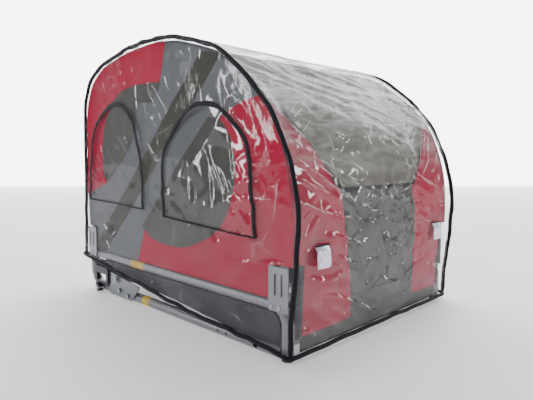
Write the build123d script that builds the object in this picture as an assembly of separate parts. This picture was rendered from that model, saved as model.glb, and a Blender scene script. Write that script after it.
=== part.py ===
from build123d import *
import math
import os

os.makedirs("parts", exist_ok=True)

# ---------------------------------------------------------------------------
# Folding pet trailer body under a fitted clear rain cover.
# Millimetres.  +X is the rear, -X the towing end, -Y the left side, +Z up.
# Origin: on the ground, at the middle of the body.
# ---------------------------------------------------------------------------

# Driving dimensions
RAIL_OD = 25.4          # frame tube, 1 inch
RAIL_WALL = 1.5
RAIL_Y = 312.0          # centre of the side frames, each side of the middle
LOW_Z = 12.7            # centre height of the lower rail
UP_Z = 108.0            # centre height of the upper rail
POST_X = 408.0          # centre of the end posts
FRONT_BEND = 50.0       # bend radius (centre line), lower rail into front post
REAR_BEND = 38.0        # bend radius (centre line), upper rail into rear post
CROSS_OD = 22.0
AXLE_X = 326.0          # axle tube, behind the large hole in each lower rail
AXLE_BORE_R = 6.1       # takes a 12 mm quick-release axle
PAIR_X = (204.0, 233.0) # pair of small holes in each lower rail
PAIR_R = 3.0

HOOP_R = 9.5            # hoop tube radius
HOOP_WALL = 1.4
PIVOT_Z_L = 146.0       # fold pivot of the left hoop
PIVOT_Z_R = 172.0       # fold pivot of the right hoop, stacked above the left
PIN_R = 4.0
PIN_CLEAR = 0.05

FABRIC_T = 2.0          # body fabric with its seams
SIDE_T = 2.4            # side fabric panel
SIDE_Y = 322.0          # inner face of the side fabric

COVER_IN = 330.0        # inner face of the rain cover's sides
COVER_T = 1.5
PIPING_R = 5.0
HEM_R = 4.6
LIFT = 750.0

# Rain cover arch, outer face, from the front hem over the top to the rear hem
COVER_ARCH = [(-446, 104), (-438, 150), (-432, 220), (-429, 300), (-428, 400),
              (-424, 500), (-407, 580), (-384, 619), (-321, 662), (-240, 683),
              (-176, 693), (-80, 698), (0, 698), (60, 691), (120, 676),
              (202, 648), (276, 599), (343, 542), (394, 476), (420, 421),
              (438, 365), (447, 315), (449, 265), (447, 209), (442, 146),
              (436, 84), (433, 20)]

# Fabric arch, outer face, from the front rail over the top to the rear sill
BODY_ARCH = [(-414, 122), (-414, 200), (-414, 300), (-414, 400), (-411, 490),
             (-396, 568), (-373, 605), (-316, 648), (-238, 669), (-176, 679),
             (-80, 684), (0, 684), (60, 677), (117, 662), (196, 634),
             (268, 587), (330, 532), (368, 480), (388, 430), (397, 380),
             (403, 310), (408, 220), (412, 122), (415, 26)]

# Left hem of the rain cover, front to rear (x, z of the binding's centre)
HEM = [(-446, 101), (-380, 93), (-312, 84), (-200, 69), (-150, 63), (-62, 56),
       (62, 43), (162, 33), (312, 25.4), (375, 20.6), (427, 14)]

# D-shaped windows of the cover's sides: arch points from the front foot of the
# arch to the rear foot; the bottom edge is the straight line between the feet
WIN_FRONT = [(-387, 278), (-383, 340), (-374, 415), (-356, 469), (-334, 500),
             (-300, 527), (-262, 546), (-231, 551), (-194, 545), (-162, 527),
             (-137, 499), (-119, 462), (-104, 420), (-95, 370), (-92, 320),
             (-93, 268)]
WIN_REAR = [(6, 258), (0, 302), (-3, 352), (1, 396), (14, 425), (38, 455),
            (69, 485), (100, 508), (137, 521), (181, 524), (219, 514),
            (250, 493), (280, 465), (303, 434), (316, 390), (323, 340),
            (328, 290), (334, 241)]

EPS = 0.01


def out(node, shape):
    export_step(shape, f"parts/{node}.step")


def group(solids):
    return Compound(children=list(solids))


def curve(points, y=0.0):
    return Spline(*[(x, y, z) for x, z in points])


def sampled(points, inset, n, t0=0.0, t1=1.0):
    """Points on the curve through points, moved towards its inside."""
    edge = curve(points)
    res = []
    for i in range(n + 1):
        t = t0 + (t1 - t0) * i / n
        p = edge.position_at(t)
        d = edge.tangent_at(t)
        res.append((p.X + d.Z * inset, p.Z - d.X * inset))
    return res


def band(points, inset, thick, y0, y1, n=46):
    """A curved sheet that follows the arch, between y0 and y1."""
    a = sampled(points, inset, n)
    b = sampled(points, inset + thick, n)
    outer = curve(a, y0)
    inner = curve(list(reversed(b)), y0)
    l1 = Line((a[-1][0], y0, a[-1][1]), (b[-1][0], y0, b[-1][1]))
    l2 = Line((b[0][0], y0, b[0][1]), (a[0][0], y0, a[0][1]))
    face = Face(Wire([outer.edge(), l1.edge(), inner.edge(), l2.edge()]))
    return extrude(face, amount=y1 - y0, dir=(0, 1, 0))


def plate(points, y0, y1):
    """A flat plate in the XZ plane from a polygon, between y0 and y1."""
    pts = [(x, y0, z) for x, z in points]
    face = Face(Wire(Polyline(*pts, close=True).edges()))
    return extrude(face, amount=y1 - y0, dir=(0, 1, 0))


def slab_yz(points, x0, x1):
    pts = [(x0, y, z) for y, z in points]
    face = Face(Wire(Polyline(*pts, close=True).edges()))
    return extrude(face, amount=x1 - x0, dir=(1, 0, 0))


def box(x0, x1, y0, y1, z0, z1):
    return Pos((x0 + x1) / 2, (y0 + y1) / 2, (z0 + z1) / 2) * Box(x1 - x0, y1 - y0, z1 - z0)


def rod_y(r, x, z, y0, y1):
    return Pos(x, (y0 + y1) / 2, z) * Rot(90, 0, 0) * Cylinder(r, abs(y1 - y0))


def rod_x(r, y, z, x0, x1):
    return Pos((x0 + x1) / 2, y, z) * Rot(0, 90, 0) * Cylinder(r, abs(x1 - x0))


def rod_z(r, x, y, z0, z1):
    return Pos(x, y, (z0 + z1) / 2) * Cylinder(r, abs(z1 - z0))


def swept(path_edges, r_out, r_in=0.0):
    wire = Wire(path_edges)
    start = Plane(origin=wire.position_at(0), z_dir=wire.tangent_at(0))
    section = Circle(r_out)
    if r_in > 0:
        section = section - Circle(r_in)
    return sweep(start * section, path=wire)


def mirror_y(shape):
    return mirror(shape, about=Plane.XZ)


def area(points):
    return 0.5 * sum(points[i - 1][0] * points[i][1] - points[i][0] * points[i - 1][1]
                     for i in range(len(points)))


def inset_poly(points, dist):
    """Polygon moved inwards; dist(i) is the shift of the edge i to i+1."""
    n = len(points)
    s = 1.0 if area(points) > 0 else -1.0
    lines = []
    for i in range(n):
        (x0, y0), (x1, y1) = points[i], points[(i + 1) % n]
        dx, dy = x1 - x0, y1 - y0
        k = math.hypot(dx, dy)
        nx, ny = -dy / k * s, dx / k * s
        d = dist(i)
        lines.append((x0 + nx * d, y0 + ny * d, dx / k, dy / k))
    res = []
    for i in range(n):
        x1, y1, dx1, dy1 = lines[i - 1]
        x2, y2, dx2, dy2 = lines[i]
        det = dx1 * dy2 - dy1 * dx2
        if abs(det) < 1e-4:
            res.append((x2, y2))
            continue
        t = ((x2 - x1) * dy2 - (y2 - y1) * dx2) / det
        res.append((x1 + dx1 * t, y1 + dy1 * t))
    return res


def window_poly(points, n=34):
    edge = curve(points)
    return [(edge.position_at(i / n).X, edge.position_at(i / n).Z) for i in range(n + 1)]


# ---------------------------------------------------------------------------
# Side frames: two bent tubes on each side
# ---------------------------------------------------------------------------
R = RAIL_OD / 2
RI = R - RAIL_WALL


def lower_rail(y):
    x_end = POST_X - R - 0.3
    bend = -(POST_X - FRONT_BEND)
    e1 = Line((x_end, y, LOW_Z), (bend, y, LOW_Z))
    e2 = ThreePointArc((bend, y, LOW_Z),
                       (bend - FRONT_BEND * math.sin(math.pi / 4), y,
                        LOW_Z + FRONT_BEND * (1 - math.cos(math.pi / 4))),
                       (-POST_X, y, LOW_Z + FRONT_BEND))
    e3 = Line((-POST_X, y, LOW_Z + FRONT_BEND), (-POST_X, y, 117.0))
    tube = swept([e1.edge(), e2.edge(), e3.edge()], R, RI)
    s = math.copysign(1, y)
    # pair of small holes in the outer wall, large hole right through for the axle
    for x in PAIR_X:
        tube = tube - rod_y(PAIR_R, x, LOW_Z, y, y + s * (R + 5))
    tube = tube - rod_y(AXLE_BORE_R + 0.4, AXLE_X, LOW_Z, y - s * (R + 5), y + s * (R + 5))
    # the tube ends on both sides of the axle's hole, joined by a saddle above and
    # one below the hole
    half, gap = 5.0, 0.02
    front = tube & (Pos(AXLE_X - half - 500, y, 60) * Box(1000, 60, 200))
    rear = tube & (Pos(AXLE_X + half + 500, y, 60) * Box(1000, 60, 200))
    saddles = tube & (Pos(AXLE_X, y, 60) * Box(2 * (half - gap), 60, 200))
    return group(front.solids() + rear.solids() + saddles.solids())


def upper_rail(y):
    x_front = -(POST_X - R - 0.3)
    e1 = Line((x_front, y, UP_Z), (POST_X - REAR_BEND, y, UP_Z))
    e2 = ThreePointArc((POST_X - REAR_BEND, y, UP_Z),
                       (POST_X - REAR_BEND + REAR_BEND * math.sin(math.pi / 4), y,
                        UP_Z - REAR_BEND * (1 - math.cos(math.pi / 4))),
                       (POST_X, y, UP_Z - REAR_BEND))
    e3 = Line((POST_X, y, UP_Z - REAR_BEND), (POST_X, y, 4.0))
    return swept([e1.edge(), e2.edge(), e3.edge()], R, RI)


out("lower_rail_left", lower_rail(-RAIL_Y))
out("lower_rail_right", lower_rail(RAIL_Y))
out("upper_rail_left", upper_rail(-RAIL_Y))
out("upper_rail_right", upper_rail(RAIL_Y))

# Cross tubes between the lower rails
cross_half = RAIL_Y - R - 0.2
CR = CROSS_OD / 2


def cross_tube(x, bore, z=LOW_Z):
    return rod_y(CR, x, z, -cross_half, cross_half) - rod_y(bore, x, z, -cross_half - 5, cross_half + 5)


out("front_cross_tube", cross_tube(-POST_X, CR - 1.5, 100.0))
out("rear_cross_tube", cross_tube(365.0, CR - 1.5))
out("axle_tube", cross_tube(AXLE_X, AXLE_BORE_R))

# Plastic plugs: caps on the front posts, feet under the rear posts
plugs = []
for s in (-1, 1):
    y = s * RAIL_Y
    plugs.append(rod_z(R, -POST_X, y, 117.05, 119.6) + rod_z(RI - 0.15, -POST_X, y, 104.0, 117.06))
    plugs.append(rod_z(R, POST_X, y, 0.0, 3.95) + rod_z(RI - 0.15, POST_X, y, 3.94, 18.0))
out("post_plugs", group(plugs))

# Yellow bands wrapped round the rails
bands = []
for s in (-1, 1):
    y = s * RAIL_Y
    bands.append(rod_x(R + 0.35, y, LOW_Z, -120.0, -88.0) - rod_x(R + 0.05, y, LOW_Z, -130, -80))
    bands.append(rod_x(R + 0.35, y, UP_Z, -175.0, -112.0) - rod_x(R + 0.05, y, UP_Z, -180, -100))
out("rail_bands", group(bands))

# ---------------------------------------------------------------------------
# Towing bracket: plate, socket block, hook, stub, bolts, pull pin
# ---------------------------------------------------------------------------
PLATE_IN = RAIL_Y + R + 0.2      # plate's inner face
PLATE_OUT = PLATE_IN + 3.6
PLATE = [(-290, 3), (-168, 3), (-128, 44), (-130, 50), (-200, 58), (-290, 68)]
PULL_X, PULL_Z = -250.0, 50.0


def tow_plate():
    p = plate(PLATE, -PLATE_OUT, -PLATE_IN)
    p = p - rod_y(PIN_R + PIN_CLEAR, PULL_X, PULL_Z, -PLATE_OUT - 5, -PLATE_IN + 5)
    return p


def tow_socket():
    o = [(-372, 35), (-362, 25.3), (-300, 25.3), (-291.0, 33), (-291.0, 70), (-300, 76),
         (-362, 78), (-372, 70)]
    b = plate(o, -334.4, -PLATE_IN)
    b = b - box(-359, -303, -360, -300, 34, 56)
    return b


def hook_clip():
    cx, cz = -342.0, 12.6
    ring = rod_y(12.4, cx, cz, -342.0, -328.0) - rod_y(8.2, cx, cz, -360, -320)
    wedge = plate([(cx, cz), (cx + 30, cz + 17), (cx + 30, cz - 17)], -360, -320)
    neck = box(cx - 12.4, cx - 8.2, -342.0, -328.0, cz, 25.3 - 0.02)
    return (ring - wedge) + neck


def tow_stub():
    cx, cz = -342.0, 12.6
    return rod_y(7.0, cx, cz, -344.0, -PLATE_IN) + rod_y(7.8, cx, cz, -345.0, -343.0)


def hex_bolt(x, z):
    head = Pos(x, -PLATE_OUT - 2.6, z) * Rot(90, 0, 0) * extrude(RegularPolygon(7.0, 6), amount=2.6, both=True)
    return head


def pull_pin():
    shaft = rod_y(PIN_R, PULL_X, PULL_Z, -333.0, -321.4)
    head = rod_y(6.0, PULL_X, PULL_Z, -336.0, -333.0)
    loop = Pos(PULL_X, -334.6, PULL_Z) * Rot(90, 0, 0)
    ring = loop * extrude(RectangleRounded(30, 17, 6) - RectangleRounded(25.4, 12.4, 4), amount=1.2, both=True)
    return shaft + head + ring


for side, f in (("left", lambda s: s), ("right", mirror_y)):
    out(f"tow_plate_{side}", f(tow_plate()))
    out(f"tow_socket_{side}", f(tow_socket()))
    out(f"pull_pin_{side}", f(pull_pin()))
out("hook_clips", group([hook_clip(), mirror_y(hook_clip())]))
out("tow_stubs", group([tow_stub(), mirror_y(tow_stub())]))
bolts = []
for x, z in ((-231.0, 21.0), (-185.0, 14.0)):
    b = hex_bolt(x, z)
    bolts += [b, mirror_y(b)]
out("tow_bolts", group(bolts))

# ---------------------------------------------------------------------------
# Hinge brackets for the hoops, on the four corners
# ---------------------------------------------------------------------------
HOOP_INSET = FABRIC_T + 0.5 + HOOP_R
hoop_line = sampled(BODY_ARCH, HOOP_INSET, 120)


def leg_x(z, rear):
    pts = [p for p in hoop_line if (p[0] > 0) == rear]
    return min(pts, key=lambda p: abs(p[1] - z))[0]


WEB_IN = RAIL_Y + R + 0.4
WEB_OUT = WEB_IN + 2.4


def hinge_bracket(rear, pivot_z):
    xc = leg_x(pivot_z, rear)
    s = 1.0 if rear else -1.0
    top = pivot_z + 44.0
    xo = s * 419.5                       # outer edge of the web
    xi = xc - s * 31.0                   # inner edge of the web
    x0, x1 = min(xo, xi), max(xo, xi)
    web = box(x0, x1, -WEB_OUT, -WEB_IN, 99.0, top)
    for dx in (-13.0, 5.0):
        c = xc + s * dx
        web = web - box(c - 2.6, c + 2.6, -WEB_OUT - 5, -WEB_IN + 5, pivot_z - 14, pivot_z + 30)
    br = web
    for d in (-1, 1):
        a = xc + d * (HOOP_R + 0.8)
        b = xc + d * (HOOP_R + 3.0)
        br = br + box(min(a, b), max(a, b), -WEB_IN - 0.5, -RAIL_Y + 11.0, 121.0, pivot_z + 13.0)
    br = br - rod_x(PIN_R + PIN_CLEAR, -RAIL_Y, pivot_z, xc - 30, xc + 30)
    return br


def hinge_pin(rear, pivot_z):
    xc = leg_x(pivot_z, rear)
    s = 1.0 if rear else -1.0
    a, b = xc - s * (HOOP_R + 6.0), xc + s * (HOOP_R + 3.05)
    pin = rod_x(PIN_R, -RAIL_Y, pivot_z, a, b + s * 0.5)
    head = rod_x(6.5, -RAIL_Y, pivot_z, b, b + s * 3.6)
    nut = rod_x(6.0, -RAIL_Y, pivot_z, xc - s * (HOOP_R + 3.05), a)
    return pin + head + nut


def rivets(rear, pivot_z):
    s = 1.0 if rear else -1.0
    xc = leg_x(pivot_z, rear)
    res = []
    for x in (xc - s * 24.0, xc - s * 2.0):
        res.append(rod_y(4.5, x, UP_Z - 1.0, -WEB_OUT - 1.5, -WEB_OUT - 0.02))
    return res


out("hinge_brackets_left", group([hinge_bracket(False, PIVOT_Z_L), hinge_bracket(True, PIVOT_Z_L)]))
out("hinge_brackets_right", group([mirror_y(hinge_bracket(False, PIVOT_Z_R)), mirror_y(hinge_bracket(True, PIVOT_Z_R))]))
out("hinge_pins_left", group([hinge_pin(False, PIVOT_Z_L), hinge_pin(True, PIVOT_Z_L)]))
out("hinge_pins_right", group([mirror_y(hinge_pin(False, PIVOT_Z_R)), mirror_y(hinge_pin(True, PIVOT_Z_R))]))
riv = []
for rear in (False, True):
    riv += rivets(rear, PIVOT_Z_L)
    riv += [mirror_y(r) for r in rivets(rear, PIVOT_Z_R)]
out("bracket_rivets", group(riv))

# ---------------------------------------------------------------------------
# Hoops: one bent tube each side, rounded feet on the hinge pins
# ---------------------------------------------------------------------------


def hoop_foot(height):
    """Solid foot with a round end at the hinge pin and a neck pressed into the tube."""
    r, neck = HOOP_R, HOOP_R - HOOP_WALL - 0.05
    c = math.sqrt(0.5) * r
    edges = [
        ThreePointArc((0, 0, -r), (c, 0, -c), (r, 0, 0)),
        Line((r, 0, 0), (r, 0, height)),
        Line((r, 0, height), (neck, 0, height)),
        Line((neck, 0, height), (neck, 0, height + 9.0)),
        Line((neck, 0, height + 9.0), (0, 0, height + 9.0)),
        Line((0, 0, height + 9.0), (0, 0, -r)),
    ]
    return revolve(make_face([e.edge() for e in edges]), axis=Axis.Z)


def hoop(pivot_z):
    foot_z = pivot_z + 24.0
    xf, xr = leg_x(pivot_z, False), leg_x(pivot_z, True)
    xft, xrt = leg_x(foot_z, False), leg_x(foot_z, True)
    pts = [p for p in sampled(BODY_ARCH, HOOP_INSET, 48) if p[1] > foot_z + 10]
    pts = [(xft, foot_z)] + pts + [(xrt, foot_z)]
    parts = [swept([curve(pts, -RAIL_Y).edge()], HOOP_R, HOOP_R - HOOP_WALL)]
    # solid feet, rounded about the hinge pins
    for x, xt in ((xf, xft), (xr, xrt)):
        foot = Pos((x + xt) / 2, -RAIL_Y, pivot_z) * hoop_foot(foot_z - pivot_z - 0.3)
        parts.append(foot - rod_x(PIN_R + PIN_CLEAR, -RAIL_Y, pivot_z, x - 20, x + 20))
    return group(parts)


out("hoop_tube_left", hoop(PIVOT_Z_L))
out("hoop_tube_right", mirror_y(hoop(PIVOT_Z_R)))

# ---------------------------------------------------------------------------
# Floor and tub
# ---------------------------------------------------------------------------
FLOOR_Z = 52.0          # underside of the floor board
out("floor_board", box(-367, 385, -316.8, 316.8, FLOOR_Z, FLOOR_Z + 7.0))
pad = box(-350, 375, -284, 284, FLOOR_Z + 7.4, FLOOR_Z + 25.4)
pad = fillet(pad.edges().filter_by(Axis.Z), 25)
pad = fillet(pad.edges().group_by(Axis.Z)[-1], 6)
out("floor_pad", pad)

TUB_Y = 317.4


def tub_side():
    # fabric skirt between the rails, rounded where the tubes bend
    low = [(-368, 55), (-128, 55), (-62, 53), (0, 48), (62, 43), (162, 33), (240, 28), (392, 26.2)]
    face = plate(low + [(392, 94.6), (-368, 94.6)], -TUB_Y - 1.8, -TUB_Y)
    e = [k for k in face.edges().filter_by(Axis.Y) if k.center().Z > 60 and k.center().X > 0]
    face = fillet(e, 27)
    return face


out("tub_side_left", tub_side())
out("tub_side_right", mirror_y(tub_side()))
out("tub_front", box(-369.8, -368.2, -298, 298, FLOOR_Z - 1.0, 118))
out("tub_rear", box(386.5, 388.3, -298, 298, 24.5, 94.0))

# ---------------------------------------------------------------------------
# Fabric body: front, roof and rear follow one arch
# ---------------------------------------------------------------------------
body = band(BODY_ARCH, 0.0, FABRIC_T, -321.5, 321.5)
WIDE_L, WIDE_R = PIVOT_Z_L + 48.0, PIVOT_Z_R + 48.0   # full width above the brackets

# openings for the hinge brackets at the corners
trim = (box(-460, 460, -400, -290, 0, WIDE_L) + box(-460, 460, 290, 400, 0, WIDE_R))
body = body - trim

ROOF_FRONT_Z = 568.0
DOOR_TOP = 333.0
DOOR_BOTTOM = 98.0


def half_width(z):
    if z < 335:
        return 134 + (z - 45) * (153 - 134) / 290.0
    return 153 + (z - 335) * (321.5 - 153) / (541.0 - 335.0)


front = body & box(-460, -200, -330, 330, 110, ROOF_FRONT_Z - 0.2)
out("front_panel", front)

# slice shapes that run right through the rear face (y, z)
centre_low = [(-half_width(26), 20), (half_width(26), 20), (half_width(DOOR_BOTTOM), DOOR_BOTTOM - 0.4),
              (-half_width(DOOR_BOTTOM), DOOR_BOTTOM - 0.4)]
centre_door = [(-half_width(DOOR_BOTTOM), DOOR_BOTTOM + 0.4), (half_width(DOOR_BOTTOM), DOOR_BOTTOM + 0.4),
               (half_width(DOOR_TOP), DOOR_TOP - 0.5), (-half_width(DOOR_TOP), DOOR_TOP - 0.5)]
centre_roof = [(-half_width(DOOR_TOP), DOOR_TOP + 0.8), (half_width(DOOR_TOP), DOOR_TOP + 0.8),
               (321.5, 541), (330, 760), (-330, 760), (-321.5, 541)]
rear_zone = body & box(250, 460, -330, 330, 20, 541)
door = rear_zone & slab_yz(centre_door, 250, 460)
out("rear_door", door)

roof_top = body & (box(-460, 0, -330, 330, ROOF_FRONT_Z + 0.2, 760) + box(0, 460, -330, 330, 541.0, 760))
roof_rear = rear_zone & slab_yz(centre_roof, 250, 460)
roof = roof_top + roof_rear
out("roof_panel", roof)

hw = half_width
G = 0.7
col_left = [(-hw(DOOR_TOP) - G, DOOR_TOP), (-hw(26) - G, 26.5), (-400, 26.5), (-400, 540), (-321.4, 540)]
col = rear_zone & slab_yz(col_left, 250, 460)
out("rear_column_left", col)
col_r = rear_zone & slab_yz([(-a, b) for a, b in col_left], 250, 460)
out("rear_column_right", col_r)
out("rear_sill", rear_zone & slab_yz([(a * 0.995, b) for a, b in centre_low], 250, 460))

# ---------------------------------------------------------------------------
# Side fabric: a fixed band above the rail, and a panel that folds with the hoop
# ---------------------------------------------------------------------------
MESH_FRONT = (-150.0, 422.0, 172.0)    # x, z, radius
MESH_REAR = (62.0, 372.0, 158.0)


def side_band(pivot_z):
    xf = leg_x(pivot_z, False) + 33.0
    xr = leg_x(pivot_z, True) - 33.0
    return box(xf, xr, -SIDE_Y - SIDE_T, -SIDE_Y, 121.2, pivot_z + 3.4)


def side_outline(pivot_z):
    inside = [p for p in sampled(BODY_ARCH, 3.0, 90) if p[1] > pivot_z + 49]
    xf = leg_x(pivot_z, False) + 33.0
    xr = leg_x(pivot_z, True) - 33.0
    zb = pivot_z + 4.0
    top_z = pivot_z + 47.0
    return [(xf, zb), (xf, top_z), (inside[0][0], top_z)] + inside + [(inside[-1][0], top_z), (xr, top_z), (xr, zb)]


def mesh_shapes():
    xf, zf, rf = MESH_FRONT
    xr, zr, rr = MESH_REAR
    c1 = rod_y(rf, xf, zf, -SIDE_Y - 10, -SIDE_Y + 10)
    c2 = rod_y(rr, xr, zr, -SIDE_Y - 10, -SIDE_Y + 10) - rod_y(rf + 16, xf, zf, -SIDE_Y - 20, -SIDE_Y + 20)
    return c1, c2


def side_panel(pivot_z):
    p = plate(side_outline(pivot_z), -SIDE_Y - SIDE_T, -SIDE_Y)
    c1, c2 = mesh_shapes()
    return p - c1 - c2


def mesh_windows(pivot_z):
    xf, zf, rf = MESH_FRONT
    xr, zr, rr = MESH_REAR
    y0, y1 = -SIDE_Y - 1.8, -SIDE_Y - 0.6
    a = rod_y(rf - 0.4, xf, zf, y0, y1)
    b = rod_y(rr - 0.4, xr, zr, y0, y1) - rod_y(rf + 16.4, xf, zf, y0 - 5, y1 + 5)
    return a, b


for side, pz, f in (("left", PIVOT_Z_L, lambda s: s), ("right", PIVOT_Z_R, mirror_y)):
    out(f"side_band_{side}", f(side_band(pz)))
    out(f"side_panel_{side}", f(side_panel(pz)))
    a, b = mesh_windows(pz)
    out(f"mesh_windows_{side}", group([f(a), f(b)]))

# ---------------------------------------------------------------------------
# Rain cover: shell, sides, piping, hem, reflectors
# ---------------------------------------------------------------------------
COVER_OUT = COVER_IN + COVER_T
PIPE_Y = COVER_OUT - 4.0               # piping centre
shell_half = PIPE_Y - PIPING_R - 0.05
shell = band(COVER_ARCH, 0.0, COVER_T, -shell_half, shell_half)
out("cover_shell", shell)


def piping():
    pts = sampled(COVER_ARCH, 4.0, 44, 0.004, 0.996)
    return swept([curve(pts, -PIPE_Y).edge()], PIPING_R)


out("piping_left", piping())
out("piping_right", mirror_y(piping()))


def hem_at(x):
    for (xa, za), (xb, zb) in zip(HEM[:-1], HEM[1:]):
        if xa <= x <= xb:
            return za + (zb - za) * (x - xa) / (xb - xa)
    return HEM[0][1] if x < HEM[0][0] else HEM[-1][1]


def cover_side():
    inside = sampled(COVER_ARCH, 9.1, 90)
    inside = [p for p in inside if p[1] > hem_at(p[0]) + HEM_R + 3.0]
    xf, xr = inside[0][0], inside[-1][0]
    low = [(x, hem_at(x) + HEM_R + 1.0) for x in [xr + (xf - xr) * i / 24 for i in range(25)]]
    p = plate(inside + low, -COVER_OUT, -COVER_IN)
    for w in (WIN_FRONT, WIN_REAR):
        p = p - plate(window_poly(w), -COVER_OUT - 5, -COVER_IN + 5)
    return p


side = cover_side()
out("cover_side_left", side)
out("cover_side_right", mirror_y(side))


def hem_side():
    pts = [(x, z) for x, z in HEM]
    return swept([curve(pts, -COVER_OUT - 1.5).edge()], HEM_R)


hem = [hem_side(), mirror_y(hem_side())]
hem.append(rod_y(HEM_R, 433.4, 14.0, -325.8, 325.8))
hem.append(rod_y(HEM_R, -451.4, 99.2, -326.0, 326.0))
out("hem_binding", group(hem))

tabs = []
for s in (-1, 1):
    t = box(449.4, 455.4, s * 247 - 21, s * 247 + 21, 184, 229)
    t = fillet(t.edges().filter_by(Axis.X), 5)
    tabs.append(t)
out("reflector_tabs", group(tabs))

# ---------------------------------------------------------------------------
# Roll-down windows of the cover: clear film and black edge tape
# ---------------------------------------------------------------------------


def flap_film(w):
    poly = window_poly(w)
    return plate(inset_poly(poly, lambda i: 0.6), -COVER_OUT, -COVER_IN)


def flap_tape(w):
    poly = window_poly(w)
    last = len(poly) - 1
    o = inset_poly(poly, lambda i: 0.6)
    i_ = inset_poly(poly, lambda i: 4.6 if i == last else 11.5)
    return plate(o, -COVER_OUT - 2.5, -COVER_OUT - 0.02) - plate(i_, -COVER_OUT - 10, -COVER_OUT + 5)


for name, w in (("front", WIN_FRONT), ("rear", WIN_REAR)):
    film, tape = flap_film(w), flap_tape(w)
    out(f"window_{name}_left", film)
    out(f"window_{name}_right", mirror_y(film))
    out(f"window_{name}_tape_left", tape)
    out(f"window_{name}_tape_right", mirror_y(tape))
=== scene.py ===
import bpy
import math
import numpy as np
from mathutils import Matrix, Quaternion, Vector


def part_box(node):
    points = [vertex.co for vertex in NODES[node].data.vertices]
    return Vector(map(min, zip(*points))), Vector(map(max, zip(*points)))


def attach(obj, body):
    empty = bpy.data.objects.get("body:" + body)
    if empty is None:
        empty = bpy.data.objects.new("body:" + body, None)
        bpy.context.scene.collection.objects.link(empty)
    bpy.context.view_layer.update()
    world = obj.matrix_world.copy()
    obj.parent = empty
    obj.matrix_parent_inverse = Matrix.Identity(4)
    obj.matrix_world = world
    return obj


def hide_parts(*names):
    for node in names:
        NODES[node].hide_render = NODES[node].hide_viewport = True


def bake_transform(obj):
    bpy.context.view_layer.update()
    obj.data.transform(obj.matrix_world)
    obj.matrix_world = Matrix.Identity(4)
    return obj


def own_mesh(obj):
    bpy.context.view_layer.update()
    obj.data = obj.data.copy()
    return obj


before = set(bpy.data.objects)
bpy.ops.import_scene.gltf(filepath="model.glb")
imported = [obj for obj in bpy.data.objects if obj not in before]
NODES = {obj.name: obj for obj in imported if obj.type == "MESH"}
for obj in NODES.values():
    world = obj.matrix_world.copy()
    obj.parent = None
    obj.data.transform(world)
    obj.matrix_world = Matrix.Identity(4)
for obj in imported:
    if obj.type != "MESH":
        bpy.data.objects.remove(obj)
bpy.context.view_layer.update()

RNG = np.random.default_rng(7)
MM = 0.001

# ---------------------------------------------------------------------------
# curves of the body and the cover (mm, x-z), as in the CAD source
# ---------------------------------------------------------------------------
COVER_ARCH = [(-446, 104), (-438, 150), (-432, 220), (-429, 300), (-428, 400),
              (-424, 500), (-407, 580), (-384, 619), (-321, 662), (-240, 683),
              (-176, 693), (-80, 698), (0, 698), (60, 691), (120, 676),
              (202, 648), (276, 599), (343, 542), (394, 476), (420, 421),
              (438, 365), (447, 315), (449, 265), (447, 209), (442, 146),
              (436, 84), (433, 20)]
BODY_ARCH = [(-414, 122), (-414, 200), (-414, 300), (-414, 400), (-411, 490),
             (-396, 568), (-373, 605), (-316, 648), (-238, 669), (-176, 679),
             (-80, 684), (0, 684), (60, 677), (117, 662), (196, 635),
             (268, 590), (332, 537), (376, 482), (402, 424), (418, 370),
             (428, 305), (430, 220), (426, 122), (421, 26)]
HEM = [(-446, 101), (-380, 93), (-312, 84), (-200, 69), (-150, 63), (-62, 56),
       (62, 43), (162, 33), (312, 25.4), (375, 20.6), (427, 14)]
WIN_FRONT = [(-387, 278), (-383, 340), (-374, 415), (-356, 469), (-334, 500),
             (-300, 527), (-262, 546), (-231, 551), (-194, 545), (-162, 527),
             (-137, 499), (-119, 462), (-104, 420), (-95, 370), (-92, 320),
             (-93, 268)]
WIN_REAR = [(6, 258), (0, 302), (-3, 352), (1, 396), (14, 425), (38, 455),
            (69, 485), (100, 508), (137, 521), (181, 524), (219, 514),
            (250, 493), (280, 465), (303, 434), (316, 390), (323, 340),
            (328, 290), (334, 241)]


def spline(points, n=1600):
    """Natural cubic spline through points, n+1 samples evenly spaced in length."""
    p = np.array(points, float)
    t = np.concatenate([[0], np.cumsum(np.linalg.norm(np.diff(p, axis=0), axis=1))])
    h = np.diff(t)
    m = len(p)
    a = np.zeros((m, m))
    r = np.zeros((m, p.shape[1]))
    a[0, 0] = a[-1, -1] = 1
    for i in range(1, m - 1):
        a[i, i - 1], a[i, i], a[i, i + 1] = h[i - 1], 2 * (h[i - 1] + h[i]), h[i]
        r[i] = 6 * ((p[i + 1] - p[i]) / h[i] - (p[i] - p[i - 1]) / h[i - 1])
    k = np.linalg.solve(a, r)
    u = np.linspace(0, t[-1], n * 4)
    i = np.clip(np.searchsorted(t, u, side="right") - 1, 0, m - 2)
    d = (u - t[i])[:, None]
    hi = h[i][:, None]
    q = (k[i] * (hi - d) ** 3 + k[i + 1] * d ** 3) / (6 * hi) \
        + (p[i] / hi - k[i] * hi / 6) * (hi - d) + (p[i + 1] / hi - k[i + 1] * hi / 6) * d
    s = np.concatenate([[0], np.cumsum(np.linalg.norm(np.diff(q, axis=0), axis=1))])
    w = np.linspace(0, s[-1], n + 1)
    return np.stack([np.interp(w, s, q[:, c]) for c in range(q.shape[1])], 1), s[-1]


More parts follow.
